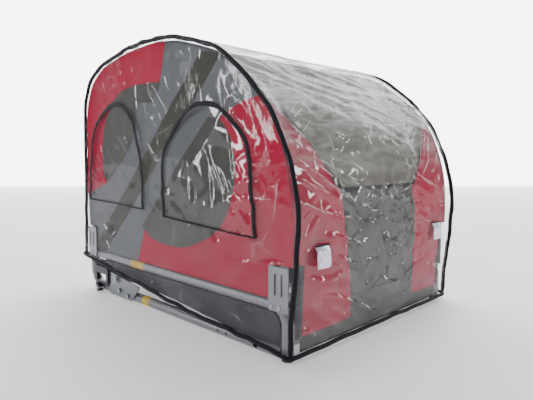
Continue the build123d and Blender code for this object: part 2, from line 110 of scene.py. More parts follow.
class Arc:
    """An arch seen from the side: position, outward normal and length (mm)."""

    def __init__(self, points):
        self.p, self.length = spline(points)
        self.s = np.linspace(0, self.length, len(self.p))
        t = np.gradient(self.p, axis=0)
        t /= np.linalg.norm(t, axis=1)[:, None]
        self.n = np.stack([-t[:, 1], t[:, 0]], 1)

    def at(self, s, off=0.0):
        x = np.interp(s, self.s, self.p[:, 0] )
        z = np.interp(s, self.s, self.p[:, 1])
        nx = np.interp(s, self.s, self.n[:, 0])
        nz = np.interp(s, self.s, self.n[:, 1])
        return x + nx * off, z + nz * off

    def poly(self, off=0.0, step=6):
        return self.p[::step] + self.n[::step] * off

    def s_where(self, x=None, z=None, rear=True):
        ok = (self.p[:, 0] > 0) if rear else (self.p[:, 0] < 0)
        d = np.abs((self.p[:, 0] - x) if z is None else (self.p[:, 1] - z))
        return self.s[np.argmin(np.where(ok, d, 1e9))]


CA, BA = Arc(COVER_ARCH), Arc(BODY_ARCH)


def hem_z(x):
    h = np.array(HEM, float)
    return np.interp(x, h[:, 0], h[:, 1])


# ---------------------------------------------------------------------------
# noise
# ---------------------------------------------------------------------------


class Waves:
    """Smooth random field: a sum of sine waves with the given wavelengths (mm)."""

    def __init__(self, seed, lo, hi, n=18, aim=None, spread=math.pi):
        g = np.random.default_rng(seed)
        lam = np.exp(g.uniform(math.log(lo), math.log(hi), n))
        ang = g.uniform(-spread, spread, n) + (0 if aim is None else aim)
        self.k = np.stack([np.cos(ang), np.sin(ang)], 1) * (2 * math.pi / lam)[:, None]
        self.f = g.uniform(0, 2 * math.pi, n)
        self.a = (lam / hi) ** 0.8
        self.a /= math.sqrt((self.a ** 2).sum() / 2)

    def __call__(self, u, v):
        u, v = np.asarray(u, float), np.asarray(v, float)
        r = np.zeros(np.broadcast(u, v).shape)
        for (kx, ky), f, a in zip(self.k, self.f, self.a):
            r = r + a * np.sin(kx * u + ky * v + f)
        return r


def smooth(e0, e1, x):
    t = np.clip((np.asarray(x, float) - e0) / (e1 - e0), 0, 1)
    return t * t * (3 - 2 * t)


def ridge(x, sharp=2.0):
    """Rounded valleys with narrow crests, 0..1, period 1."""
    return (0.5 + 0.5 * np.cos(2 * math.pi * x)) ** sharp


# ---------------------------------------------------------------------------
# meshes
# ---------------------------------------------------------------------------


def mesh(name, verts, faces, mat=None, smooth_=True, sharp=None):
    me = bpy.data.meshes.new(name)
    me.from_pydata([tuple(v) for v in np.asarray(verts, float)], [], [tuple(int(i) for i in f) for f in faces])
    me.validate()
    me.update()
    ob = bpy.data.objects.new(name, me)
    bpy.context.scene.collection.objects.link(ob)
    for p in me.polygons:
        p.use_smooth = smooth_
    if mat is not None:
        for m in (mat if isinstance(mat, (list, tuple)) else [mat]):
            me.materials.append(m)
    return ob


def grid_faces(nu, nv, wrap_v=False):
    f = []
    for i in range(nu - 1):
        for j in range(nv if wrap_v else nv - 1):
            k = (j + 1) % nv
            f.append((i * nv + j, (i + 1) * nv + j, (i + 1) * nv + k, i * nv + k))
    return f


def inside(poly, x, z):
    r = np.zeros(np.shape(x), bool)
    px, pz = poly[:, 0], poly[:, 1]
    n = len(px)
    for i in range(n):
        j = i - 1
        c = ((pz[i] > z) != (pz[j] > z))
        with np.errstate(divide="ignore", invalid="ignore"):
            xi = (px[j] - px[i]) * (z - pz[i]) / (pz[j] - pz[i]) + px[i]
        r ^= c & (x < xi)
    return r


def nearest_on(poly, p):
    a, b = poly, np.roll(poly, -1, 0)
    d = b - a
    best, where = np.full(len(p), 1e18), np.zeros_like(p)
    dd = np.maximum((d ** 2).sum(1), 1e-12)
    for i in range(len(a)):
        t = np.clip(((p - a[i]) @ d[i]) / dd[i], 0, 1)
        q = a[i] + t[:, None] * d[i]
        e = ((p - q) ** 2).sum(1)
        m = e < best
        best[m], where[m] = e[m], q[m]
    return where, np.sqrt(best)


def trimmed(outer, holes, step):
    """A flat grid in (x, z) cut to a polygon with holes, its edge snapped onto the outline."""
    outer = np.asarray(outer, float)
    holes = [np.asarray(h, float) for h in holes]
    x0, z0 = outer.min(0) - step
    x1, z1 = outer.max(0) + step
    nx, nz = int((x1 - x0) / step) + 2, int((z1 - z0) / step) + 2
    gx = x0 + np.arange(nx) * step
    gz = z0 + np.arange(nz) * step
    cx, cz = np.meshgrid(gx[:-1] + step / 2, gz[:-1] + step / 2, indexing="ij")
    keep = inside(outer, cx, cz)
    for h in holes:
        keep &= ~inside(h, cx, cz)
    used = np.zeros((nx, nz), int)
    for a in (0, 1):
        for b in (0, 1):
            used[a:nx - 1 + a, b:nz - 1 + b] += keep
    idx = -np.ones((nx, nz), int)
    ii, jj = np.nonzero(used)
    idx[ii, jj] = np.arange(len(ii))
    pts = np.stack([gx[ii], gz[jj]], 1)
    edge = used[ii, jj] < 4
    rim = pts[edge]
    best, dist = nearest_on(outer, rim)
    for h in holes:
        q, d = nearest_on(h, rim)
        m = d < dist
        best[m], dist[m] = q[m], d[m]
    near = dist < step * 1.6
    rim[near] = best[near]
    pts[edge] = rim
    fi, fj = np.nonzero(keep)
    faces = np.stack([idx[fi, fj], idx[fi + 1, fj], idx[fi + 1, fj + 1], idx[fi, fj + 1]], 1)
    return pts, faces, edge


def tube(name, path, prof, mat, up=(0, 1, 0), closed=False):
    """Sweeps a cross-section along path. prof(i) gives the section's (a, b) points at point i:
    a along the side direction, b along the local up direction."""
    p = np.asarray(path, float)
    n = len(p)
    t = np.gradient(p, axis=0)
    if closed:
        t = np.roll(p, -1, 0) - np.roll(p, 1, 0)
    t /= np.linalg.norm(t, axis=1)[:, None]
    u = np.array(up, float)[None, :].repeat(n, 0) if np.ndim(up) == 1 else np.asarray(up, float)
    s = np.cross(t, u)
    s /= np.linalg.norm(s, axis=1)[:, None]
    v = np.cross(s, t)
    rows, m = [], len(prof(0))
    for i in range(n):
        q = np.asarray(prof(i), float)
        rows.append(p[i] + q[:, :1] * s[i] + q[:, 1:] * v[i])
    verts = np.concatenate(rows)
    faces = grid_faces(n, m, True)
    if closed:
        base = (n - 1) * m
        faces += [(base + j, j, (j + 1) % m, base + (j + 1) % m) for j in range(m)]
    else:
        faces += [tuple(range(m))[::-1], tuple((n - 1) * m + j for j in range(m))]
    return mesh(name, verts * MM, faces, mat)


def oval(a, b, m=14, power=2.4):
    """A rounded flat section, half-sizes a and b."""
    th = np.linspace(0, 2 * math.pi, m, endpoint=False)
    c, s = np.cos(th), np.sin(th)
    return np.stack([a * np.sign(c) * np.abs(c) ** (2 / power), b * np.sign(s) * np.abs(s) ** (2 / power)], 1)


def add_mod(ob, kind, **kw):
    m = ob.modifiers.new(kind.lower(), kind)
    for k, v in kw.items():
        setattr(m, k, v)
    return m


# ---------------------------------------------------------------------------
# materials
# ---------------------------------------------------------------------------


def lin(r, g, b):
    def f(c):
        c /= 255.0
        return c / 12.92 if c <= 0.04045 else ((c + 0.055) / 1.055) ** 2.4
    return (f(r), f(g), f(b), 1.0)


class Mat:
    def __init__(self, name):
        self.m = bpy.data.materials.new(name)
        self.m.use_nodes = True
        self.t = self.m.node_tree
        self.t.nodes.clear()
        self.out = self.t.nodes.new("ShaderNodeOutputMaterial")
        self.co = None

    def node(self, kind, **kw):
        n = self.t.nodes.new("ShaderNode" + kind)
        for k, v in kw.items():
            if hasattr(n, k):
                setattr(n, k, v)
            else:
                n.inputs[k].default_value = v
        return n

    def link(self, a, b):
        self.t.links.new(a, b)

    def coords(self):
        if self.co is None:
            self.co = self.node("TexCoord").outputs["Object"]
        return self.co

    def noise(self, scale, detail=4.0, rough=0.55, stretch=None, distortion=0.0):
        n = self.node("TexNoise")
        n.inputs["Scale"].default_value = scale
        n.inputs["Detail"].default_value = detail
        n.inputs["Roughness"].default_value = rough
        n.inputs["Distortion"].default_value = distortion
        if stretch is None:
            self.link(self.coords(), n.inputs["Vector"])
        else:
            mp = self.node("Mapping")
            mp.inputs["Scale"].default_value = stretch[0]
            if len(stretch) > 1:
                mp.inputs["Rotation"].default_value = stretch[1]
            self.link(self.coords(), mp.inputs["Vector"])
            self.link(mp.outputs[0], n.inputs["Vector"])
        return n.outputs["Fac"]

    def ramp(self, fac, stops):
        r = self.node("ValToRGB")
        e = r.color_ramp.elements
        while len(e) < len(stops):
            e.new(0.5)
        for k, (pos, col) in zip(e, stops):
            k.position = pos
            k.color = col if len(col) == 4 else (*col, 1)
        self.link(fac, r.inputs[0])
        return r.outputs[0]

    def rng(self, fac, a, b, lo=0.0, hi=1.0):
        r = self.node("MapRange")
        r.inputs["From Min"].default_value = lo
        r.inputs["From Max"].default_value = hi
        r.inputs["To Min"].default_value = a
        r.inputs["To Max"].default_value = b
        self.link(fac, r.inputs["Value"])
        return r.outputs[0]

    def math(self, op, a, b=None):
        n = self.node("Math")
        n.operation = op
        for i, v in enumerate((a, b)):
            if v is None:
                continue
            if isinstance(v, (int, float)):
                n.inputs[i].default_value = v
            else:
                self.link(v, n.inputs[i])
        return n.outputs[0]

    def bump(self, height, strength, dist=0.001, normal=None):
        b = self.node("Bump")
        b.inputs["Strength"].default_value = strength
        b.inputs["Distance"].default_value = dist
        self.link(height, b.inputs["Height"])
        if normal is not None:
            self.link(normal, b.inputs["Normal"])
        return b.outputs[0]

    def bsdf(self, **kw):
        b = self.node("BsdfPrincipled")
        for k, v in kw.items():
            k = k.replace("_", " ")
            if hasattr(v, "is_output"):
                self.link(v, b.inputs[k])
            else:
                b.inputs[k].default_value = v
        return b

    def done(self, shader):
        self.link(shader.outputs[0] if hasattr(shader, "outputs") else shader, self.out.inputs["Surface"])
        return self.m


def shade(c, k):
    return (min(1, c[0] * k), min(1, c[1] * k), min(1, c[2] * k), 1.0)


def fabric(name, col, weave=900.0, rough=0.78, mottle=0.16, bump=0.35, sheen=0.04):
    m = Mat(name)
    big = m.noise(7.0, 5.0, 0.6)
    fine = m.noise(weave, 2.0, 0.6)
    both = m.math("ADD", m.math("MULTIPLY", big, 0.65), m.math("MULTIPLY", fine, 0.35))
    c = m.ramp(both, [(0.28, shade(col, 1 - mottle)), (0.72, shade(col, 1 + mottle))])
    # woven threads in two axes
    w = []
    for ax in ("X", "Z"):
        wv = m.node("TexWave")
        wv.bands_direction = ax
        wv.inputs["Scale"].default_value = 420.0
        wv.inputs["Distortion"].default_value = 0.6
        m.link(m.coords(), wv.inputs["Vector"])
        w.append(wv.outputs["Fac"])
    threads = m.math("MULTIPLY", w[0], w[1])
    h = m.math("ADD", threads, m.math("MULTIPLY", fine, 0.8))
    b = m.bsdf(Base_Color=c, Roughness=m.rng(big, rough - 0.08, rough + 0.08, 0.3, 0.7), Normal=m.bump(h, bump, 0.0004))
    b.inputs["Specular IOR Level"].default_value = 0.22
    b.inputs["Sheen Weight"].default_value = sheen
    b.inputs["Sheen Roughness"].default_value = 0.4
    return m.done(b)


def painted(name, col, rough=0.32, metal=0.55, streak=0.10):
    m = Mat(name)
    n = m.noise(55.0, 4.0, 0.6)
    sc = m.noise(420.0, 2.0, 0.7)
    c = m.ramp(m.math("ADD", m.math("MULTIPLY", n, 0.7), m.math("MULTIPLY", sc, 0.3)),
               [(0.3, shade(col, 1 - streak)), (0.7, shade(col, 1 + streak))])
    b = m.bsdf(Base_Color=c, Metallic=metal, Roughness=m.rng(n, rough - 0.06, rough + 0.10, 0.3, 0.7),
               Normal=m.bump(sc, 0.12, 0.0003))
    return m.done(b)


def plastic(name, col, rough=0.45, grain=700.0, bump=0.2):
    m = Mat(name)
    n = m.noise(20.0, 4.0)
    g = m.noise(grain, 2.0, 0.7)
    c = m.ramp(n, [(0.3, shade(col, 0.85)), (0.7, shade(col, 1.2))])
    b = m.bsdf(Base_Color=c, Roughness=m.rng(n, rough - 0.07, rough + 0.08, 0.3, 0.7), Normal=m.bump(g, bump, 0.0003))
    return m.done(b)


def film(name, gloss=0.05, haze_and_glint_range=(0.0, 0.10), cover=(0.50, 0.80), rough=0.05, streak=(1.0, 1.0, 1.0), turn=(0, 0, 0),
         bump=0.5, col=(226, 231, 238), crumple=26.0, low=None, painted_glint_lines=0.0):
    """Clear soft vinyl: see-through, with a gloss, fine creases and milky streaks; the streaks are partly real haze and
    partly painted highlights along the creases, and thin painted highlight lines can be added on the creases.
    """
    m = Mat(name)
    n = m.noise(9.0, 6.0, 0.66, (streak, turn), 0.9)
    n2 = m.noise(2.6, 2.0, 0.5)
    fine = m.noise(60.0, 3.0, 0.6, (streak, turn), 0.6)
    mix = m.math("ADD", m.math("ADD", m.math("MULTIPLY", n, 0.5), m.math("MULTIPLY", n2, 0.25)), m.math("MULTIPLY", fine, 0.25))
    # milky diffuse streaks: partly real haze of the vinyl, partly painted highlights along the creases
    haze_and_glints = m.rng(mix, haze_and_glint_range[0], haze_and_glint_range[1], cover[0], cover[1])
    # the haze and its painted highlight streaks fade towards the bottom, so the film is whiter up on the roof
    if low is not None:
        sep = m.node("SeparateXYZ")
        m.link(m.coords(), sep.inputs[0])
        haze_and_glints = m.math("MULTIPLY", haze_and_glints, m.rng(sep.outputs["Z"], low, 1.0, 0.36, 0.58))
    # creases: distance to the nearest cell centre, over warped coordinates
    warp = m.node("TexNoise")
    warp.inputs["Scale"].default_value = 5.0
    m.link(m.coords(), warp.inputs["Vector"])
    va = m.node("VectorMath")
    va.operation = "MULTIPLY_ADD"
    va.inputs[1].default_value = (0.10, 0.10, 0.10)
    m.link(warp.outputs["Color"], va.inputs[0])
    m.link(m.coords(), va.inputs[2])
    hs = []
    for sc_, k in ((crumple, 1.0), (crumple * 2.4, 0.4)):
        mp = m.node("Mapping")
        mp.inputs["Scale"].default_value = streak
        mp.inputs["Rotation"].default_value = turn
        m.link(va.outputs[0], mp.inputs["Vector"])
        v = m.node("TexVoronoi")
        v.inputs["Scale"].default_value = sc_
        m.link(mp.outputs[0], v.inputs["Vector"])
        hs.append(m.math("MULTIPLY", v.outputs["Distance"], k))
    h = m.math("ADD", m.math("ADD", hs[0], hs[1]), m.math("MULTIPLY", n, 0.35))
    # painted highlights: thin white lines along the cell edges, mixed into the diffuse haze, stand in for glints on the
    # creases
    if painted_glint_lines:
        for sc_, k, w_ in ((crumple * 0.8, 1.0, 0.020), (crumple * 2.1, 0.45, 0.035)):
            mp = m.node("Mapping")
            mp.inputs["Scale"].default_value = tuple(0.6 * a_ + 0.4 for a_ in streak)
            mp.inputs["Rotation"].default_value = (turn[0] + 0.3, turn[1] + 0.2, turn[2])
            m.link(va.outputs[0], mp.inputs["Vector"])
            v = m.node("TexVoronoi")
            v.feature = "DISTANCE_TO_EDGE"
            v.inputs["Scale"].default_value = sc_
            m.link(mp.outputs[0], v.inputs["Vector"])
            ln = m.rng(v.outputs["Distance"], 1.0, 0.0, 0.0, w_)
            ln = m.math("MULTIPLY", ln, m.rng(n, 0.0, 1.0, 0.50, 0.66))
            haze_and_glints = m.math("MAXIMUM", haze_and_glints, m.math("MULTIPLY", ln, painted_glint_lines * k))
    nb = m.bump(h, bump, 0.006)
    c = m.ramp(fine, [(0.3, lin(*col)), (0.8, lin(250, 250, 252))])
    g = m.bsdf(Base_Color=m.ramp(n, [(0.3, lin(240, 242, 248)), (0.7, lin(254, 254, 255))]), Metallic=1.0,
               Roughness=m.rng(fine, rough, rough + 0.06, 0.35, 0.7), Normal=nb)
    d = m.bsdf(Base_Color=c, Metallic=0.0, Roughness=m.rng(fine, 0.30, 0.5, 0.35, 0.7), Normal=nb)
    tr = m.node("BsdfTransparent")
    one = m.node("MixShader")
    m.link(m.rng(n2, gloss * 0.8, gloss * 1.2, 0.35, 0.65), one.inputs[0])
    m.link(tr.outputs[0], one.inputs[1])
    m.link(g.outputs[0], one.inputs[2])
    two = m.node("MixShader")
    m.link(haze_and_glints, two.inputs[0])
    m.link(one.outputs[0], two.inputs[1])
    m.link(d.outputs[0], two.inputs[2])
    return m.done(two)


def mesh_cloth(name, col, hole=1150.0, solid=0.88):
    """Fine open mesh: a dark net whose holes let a little through."""
    m = Mat(name)
    w = []
    for ax in ("X", "Z"):
        wv = m.node("TexWave")
        wv.bands_direction = ax
        wv.inputs["Scale"].default_value = hole
        m.link(m.coords(), wv.inputs["Vector"])
        w.append(wv.outputs["Fac"])
    net = m.math("MULTIPLY", w[0], w[1])
    big = m.noise(6.0, 4.0)
    c = m.ramp(big, [(0.3, shade(col, 0.86)), (0.7, shade(col, 1.14))])
    b = m.bsdf(Base_Color=c, Roughness=0.8, Normal=m.bump(net, 0.3, 0.0004))
    b.inputs["Sheen Weight"].default_value = 0.2
    alpha = m.rng(net, 1.0, solid - 0.18, 0.35, 0.75)
    tr = m.node("BsdfTransparent")
    mixer = m.node("MixShader")
    m.link(alpha, mixer.inputs[0])
    m.link(tr.outputs[0], mixer.inputs[1])
    m.link(b.outputs[0], mixer.inputs[2])
    return m.done(mixer)


M_RED = fabric("red_cloth", (0.36, 0.0008, 0.030, 1), rough=0.7)
M_LIGHT = fabric("light_grey_cloth", lin(92, 94, 99), rough=0.7)
M_TAUPE = fabric("taupe_cloth", lin(104, 101, 91), rough=0.75)
M_DOOR = fabric("door_cloth", lin(66, 66, 62), rough=0.75)
M_STRIPE = fabric("dark_stripe_cloth", lin(60, 58, 51), rough=0.75)
M_TUB = fabric("tub_cloth", lin(52, 53, 58), rough=0.76)
M_MESH = mesh_cloth("side_mesh", lin(46, 44, 38))
M_TAPE = fabric("black_tape", lin(16, 17, 26), weave=1500.0, rough=0.7, mottle=0.25, bump=0.5)
M_PAD = fabric("pad_cloth", lin(70, 70, 74))
M_TUBE = painted("silver_paint", lin(126, 128, 132), rough=0.36, metal=0.45)
M_BRACKET = painted("bracket_alu", lin(132, 134, 140), rough=0.34, metal=0.75)
M_STEEL = painted("zinc_steel", lin(170, 172, 178), rough=0.28, metal=0.9)
M_BLACK = plastic("black_plastic", lin(24, 24, 30))
M_BOARD = plastic("floor_plastic", lin(52, 52, 54))
M_YELLOW = plastic("yellow_band", lin(203, 168, 62), rough=0.5)
M_REFLECT = painted("reflector", lin(222, 226, 240), rough=0.2, metal=0.35)
# the side and top films get thin painted highlight lines on their creases
M_FILM_SIDE = film("clear_film_side", 0.015, (0.0, 0.026), (0.47, 0.72), rough=0.03, bump=0.27, crumple=10.0, painted_glint_lines=0.13)
M_FILM_TOP = film("clear_film_top", 0.027, (0.12, 0.78), (0.43, 0.63), rough=0.035, streak=(1.6, 0.36, 1.2), turn=(0.35, 0, 0.3),
                  bump=0.29, crumple=11.0, col=(226, 224, 216), low=0.05, painted_glint_lines=0.20)
M_FILM_WIN = film("clear_film_window", 0.022, (0.0, 0.015), (0.52, 0.80), rough=0.012, bump=0.06, crumple=4.0)


def paint(node, mat, bevel=None, angle=35):
    o = NODES[node]
    o.data.materials.clear()
    o.data.materials.append(mat)
    for p in o.data.polygons:
        p.use_smooth = True
        p.material_index = 0
    if bevel:
        m = add_mod(o, "BEVEL", width=bevel, segments=2, limit_method="ANGLE")
        m.angle_limit = math.radians(angle)
        m.harden_normals = False
    add_mod(o, "EDGE_SPLIT").split_angle = math.radians(38)


for n in NODES:
    if n.startswith(("lower_rail", "upper_rail", "hoop_tube")) or n.endswith("_tube"):
        paint(n, M_TUBE)
    elif n.startswith(("tow_plate", "hinge_brackets")):
        paint(n, M_BRACKET, 0.0006)
    elif n in ("tow_bolts", "bracket_rivets", "tow_stubs") or n.startswith(("hinge_pins", "pull_pin")):
        paint(n, M_STEEL, 0.0004)
    elif n in ("post_plugs", "hook_clips") or n.startswith("tow_socket"):
        paint(n, M_BLACK, 0.0008)
    elif n == "rail_bands":
        paint(n, M_YELLOW)
    elif n == "floor_board":
        paint(n, M_BOARD, 0.0008)


def ride_all(obs, body):
    for o in obs:
        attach(o, body)


# ---------------------------------------------------------------------------
# trailer fabric: sides with sewn panels
# ---------------------------------------------------------------------------
W_SIDE = Waves(11, 160, 420, 12)
W_SIDE2 = Waves(12, 50, 120, 16)


def side_y(x, z):
    """How far the side fabric stands out from its plane (mm, outwards)."""
    edge = smooth(0, 60, np.minimum(np.abs(np.asarray(z) - 122), 400))
    return (1.1 * W_SIDE(x, z) + 0.45 * W_SIDE2(x, z)) * edge


def arch_between(z_front, x_end, off=3.5):
    """Points along the body's arch from height z_front at the front to x_end."""
    s0 = BA.s_where(z=z_front, rear=False)
    s1 = BA.s_where(x=x_end, rear=x_end > 0)
    s = np.linspace(s0, s1, 60)
    x, z = BA.at(s, off)
    return list(zip(x, z))


def arch_rear(x_start, z_end, off=0.5):
    s0 = BA.s_where(x=x_start, rear=x_start > 0)
    s1 = BA.s_where(z=z_end, rear=True)
    s = np.linspace(s0, s1, 60)
    x, z = BA.at(s, off)
    return list(zip(x, z))


def side_sheet(name, sgn, outer, holes, step, lift, mat, base=322.6, thick=1.0):
    pts, faces, edge = trimmed(outer, holes, step)
    y = base + lift + np.clip(side_y(pts[:, 0], pts[:, 1]), -1.5, 3.2)
    v = np.stack([pts[:, 0], sgn * y, pts[:, 1]], 1) * MM
    if sgn > 0:
        faces = faces[:, ::-1]
    o = mesh(name, v, faces, mat)
    return o


def closed_rear(z):
    return [(404, z)]


PIV = {-1: 146.0, 1: 172.0}
BOT = 121.4


def side_base(sgn):
    zt = PIV[sgn] + 47
    a = arch_between(zt, 0.1)
    b = arch_rear(0.2, zt)
    return [(-368, BOT), (-368, zt)] + a + b + [(380, zt), (380, BOT)]


MESH1 = [(-301, 329), (-313, 350), (-319, 368), (-323, 396), (-323, 424), (-319, 455), (-311, 484), (-299, 509),
         (-280, 533), (-256, 555), (-224, 575), (-190, 587), (-150, 592.5), (-101, 594), (-60, 593), (-10, 590),
         (-54, 542), (-110, 547), (-134, 530), (-131, 500), (-150, 462), (-171, 431), (-202, 404), (-250, 368)]
RED1_IN = [(-12, 588), (-60, 580), (-150, 580), (-222, 560), (-285, 505), (-312, 424), (-305, 370), (-301, 329), (-359, 309)]
STRIPE = [(-398, BOT), (-318, BOT), (-286, 152), (-200, 233), (-100, 327), (0, 421), (100, 515), (196, 604), (222, 630),
          (150, 641), (100, 594), (0, 499), (-100, 404), (-200, 309), (-300, 214), (-366, 150)]
M2 = [(-112, 221), (-90, 205), (-62, 192), (-30, 186), (-3, 184), (30, 183), (60, 184), (95, 190), (130, 203), (172, 221),
      (208, 245), (232, 275), (250, 311), (261, 348), (265.6, 384), (262, 415), (253, 443), (236, 470), (212, 490), (172, 495), (100, 426), (0, 329), (-60, 271)]
RED2_IN = [(212, 491), (280, 519), (344, 543)]
RED2_HOLE = [(205, 485), (238, 440), (250, 384), (235, 320), (195, 258), (130, 218), (60, 198), (0, 198), (-62, 205), (-100, 214), (-137, BOT)]


def build_side(sgn):
    tag = "left" if sgn < 0 else "right"
    base = side_sheet(f"side_cloth_{tag}", sgn, side_base(sgn), [], 7.0, 0.0, M_LIGHT)
    add_mod(base, "SOLIDIFY", thickness=0.0012, offset=-1 if sgn < 0 else -1)
    red1 = arch_between(289, -0.5) + [(11, 681)] + RED1_IN
    r1 = side_sheet("r1", sgn, red1, [], 5.0, 0.5, M_RED)
    st = side_sheet("st", sgn, STRIPE, [], 5.0, 0.45, M_STRIPE)
    zt = PIV[sgn] + 47
    red2 = arch_rear(340, zt) + [(380, zt), (380, BOT), (-137, BOT)] + RED2_HOLE[::-1][1:] + RED2_IN[:2]
    r2 = side_sheet("r2", sgn, red2, [], 5.0, 0.6, M_RED)
    m1 = side_sheet("m1", sgn, MESH1, [], 5.0, 1.0, M_MESH)
    m2 = side_sheet("m2", sgn, M2, [], 5.0, 1.0, M_MESH)
    for o in bpy.context.selected_objects:
        o.select_set(False)
    obs = [r1, st, r2, m1, m2]
    for o in obs:
        o.select_set(True)
    bpy.context.view_layer.objects.active = r1
    bpy.ops.object.join()
    r1.name = f"side_patches_{tag}"
    r1.select_set(False)
    # outline of a lining behind the mesh; only the points are worked out, no lining is made
    lining_pts = [(-366, BOT + 2), (366, BOT + 2), (366, zt)] + arch_rear(0.2, zt, -8)[::-1] + arch_between(zt, 0.1, -8)[::-1] + [(-366, zt)]
    for o in (base, r1):
        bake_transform(o)
    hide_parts(f"side_panel_{tag}", f"mesh_windows_{tag}", f"side_band_{tag}")
    w = 0.82 * 0.56
    return base, r1


for sgn in (-1, 1):
    build_side(sgn)


# ---------------------------------------------------------------------------
# trailer fabric: front, roof and rear, one strip along the arch
# ---------------------------------------------------------------------------


def rear_half(z, sgn=0):
    """Half width of the grey middle; the door hangs a little askew."""
    lo_, up_ = {-1: (112.0, 168.0), 1: (157.0, 143.0), 0: (134.0, 153.0)}[sgn]
    return np.interp(z, [45, 335, 541], [lo_, up_, 321.5])


class Creases:
    """Soft narrow folds scattered over a sheet; each has a place, direction, length and height."""

    def __init__(self, seed, n, u, v, length, width, amp, aim, spread):
        g = np.random.default_rng(seed)
        self.u, self.v = g.uniform(*u, n), g.uniform(*v, n)
        a = aim[g.integers(0, len(aim), n)] + g.normal(0, spread, n)
        self.c, self.s = np.cos(a), np.sin(a)
        self.l = g.uniform(*length, n)
        self.w = g.uniform(*width, n)
        self.a = g.uniform(*amp, n) * np.where(g.random(n) < 0.35, -1, 1)
        self.b = g.normal(0, 0.0006, n)

    def __call__(self, u, v):
        r = np.zeros(np.shape(u))
        for k in range(len(self.u)):
            du, dv = u - self.u[k], v - self.v[k]
            t = du * self.c[k] + dv * self.s[k]
            d = -du * self.s[k] + dv * self.c[k] + self.b[k] * t * t
            e = np.clip(1 - (t / self.l[k]) ** 2, 0, 1) ** 1.5
            r = r + self.a[k] * e * np.exp(-np.abs(d / self.w[k]) ** 1.5)
        return r


D = math.radians
L_B = BA.length
S_TOP0 = BA.s_where(x=-0.5, rear=False)
W_ROOF = Waves(21, 90, 340, 16)
W_ROOF2 = Waves(22, 28, 80, 22)
C_ROOF = Creases(23, 60, (0, L_B), (-300, 300), (60, 240), (7, 16), (1.0, 4.0), np.array([D(20), D(-25), D(90), D(65)]), 0.3)


def strip(name, s, v, keep, off, mat, thick=0.0012):
    """A sheet over the arch: s runs along it, v across (mm); keep says which quads stay."""
    S, V = np.meshgrid(s, v, indexing="ij")
    x, z = BA.at(S, off(S, V))
    verts = np.stack([x, V, z], -1).reshape(-1, 3) * MM
    f = np.array(grid_faces(len(s), len(v)))
    ok = keep(S[:-1, :-1], V[:-1, :-1]).reshape(-1)
    o = mesh(name, verts, f[ok][:, ::-1], mat)
    return o


def roof_off(S, V):
    edge = smooth(321, 270, np.abs(V))
    zz = np.interp(S, BA.s, BA.p[:, 1])
    up = smooth(120, 200, zz)
    w = 2.4 * W_ROOF(S, V) + 0.8 * W_ROOF2(S, V) + C_ROOF(S, V)
    return 0.8 - 6.0 * edge * smooth(520, 660, zz) + np.clip(w, -6, 1.6) * edge * up


s_end = BA.s_where(z=334.5)
s_541 = BA.s_where(z=541)


CORNER = {-1: 196.0, 1: 222.0}


def outer_half(z, sgn):
    """Half-width of the end fabric: narrower where the corner posts and brackets stand."""
    return 290.5 + 30.8 * smooth(CORNER[sgn] - 5, CORNER[sgn] + 5, z)


def roof_sheet():
    s = np.linspace(BA.s_where(z=124, rear=False), s_end, 380)
    t = np.linspace(-1, 1, 141)
    S, T = np.meshgrid(s, t, indexing="ij")
    zz = np.interp(S, BA.s, BA.p[:, 1])
    xx = np.interp(S, BA.s, BA.p[:, 0])
    half = np.where((xx > 0) & (zz < 541), np.where(T < 0, rear_half(zz, -1), rear_half(zz, 1)), 321.0)
    half = np.where(xx < 0, np.where(T < 0, outer_half(zz, -1), outer_half(zz, 1)), half)
    V = T * half
    x, z = BA.at(S, roof_off(S, V))
    verts = np.stack([x, V, z], -1).reshape(-1, 3) * MM
    o = mesh("roof_cloth", verts, np.array(grid_faces(len(s), len(t)))[:, ::-1], M_TAUPE)
    return o, float(s[-1] - s[0])


roof, roof_len = roof_sheet()
add_mod(roof, "SOLIDIFY", thickness=0.0012, offset=-1)
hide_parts("roof_panel", "front_panel")
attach(roof, "trailer_frame")
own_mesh(roof)


def rear_off(S, V):
    zz = np.interp(S, BA.s, BA.p[:, 1])
    w = 1.8 * W_ROOF(S * 1.3, V * 1.3) + 0.9 * W_ROOF2(S, V) + C_ROOF(S, V)
    return -2.0 + np.clip(w, -5, 3.0) * smooth(26, 70, zz) * smooth(322, 300, np.abs(V))


def rear_piece(name, z0, z1, lo, hi, mat, ns=80, nt=40, off=rear_off, extra=0.0):
    s = np.linspace(BA.s_where(z=z1), min(BA.s_where(z=z0), L_B), ns)
    t = np.linspace(0, 1, nt)
    S, T = np.meshgrid(s, t, indexing="ij")
    zz = np.interp(S, BA.s, BA.p[:, 1])
    a, b = lo(zz), hi(zz)
    V = a + (b - a) * T
    x, z = BA.at(S, off(S, V) + extra)
    verts = np.stack([x, V, z], -1).reshape(-1, 3) * MM
    o = mesh(name, verts, np.array(grid_faces(ns, nt))[:, ::-1], mat)
    add_mod(o, "SOLIDIFY", thickness=0.0012, offset=-1)
    return o, float(s[-1] - s[0])


for sgn, tag in ((-1, "left"), (1, "right")):
    if sgn < 0:
        o, ln = rear_piece(f"rear_column_cloth_{tag}", 45, 541, lambda z: -outer_half(z, -1), lambda z: -rear_half(z, -1), M_RED, 130)
    else:
        o, ln = rear_piece(f"rear_column_cloth_{tag}", 45, 541, lambda z: rear_half(z, 1), lambda z: outer_half(z, 1), M_RED, 130)
    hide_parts(f"rear_column_{tag}")
    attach(o, "trailer_frame")
    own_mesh(o)

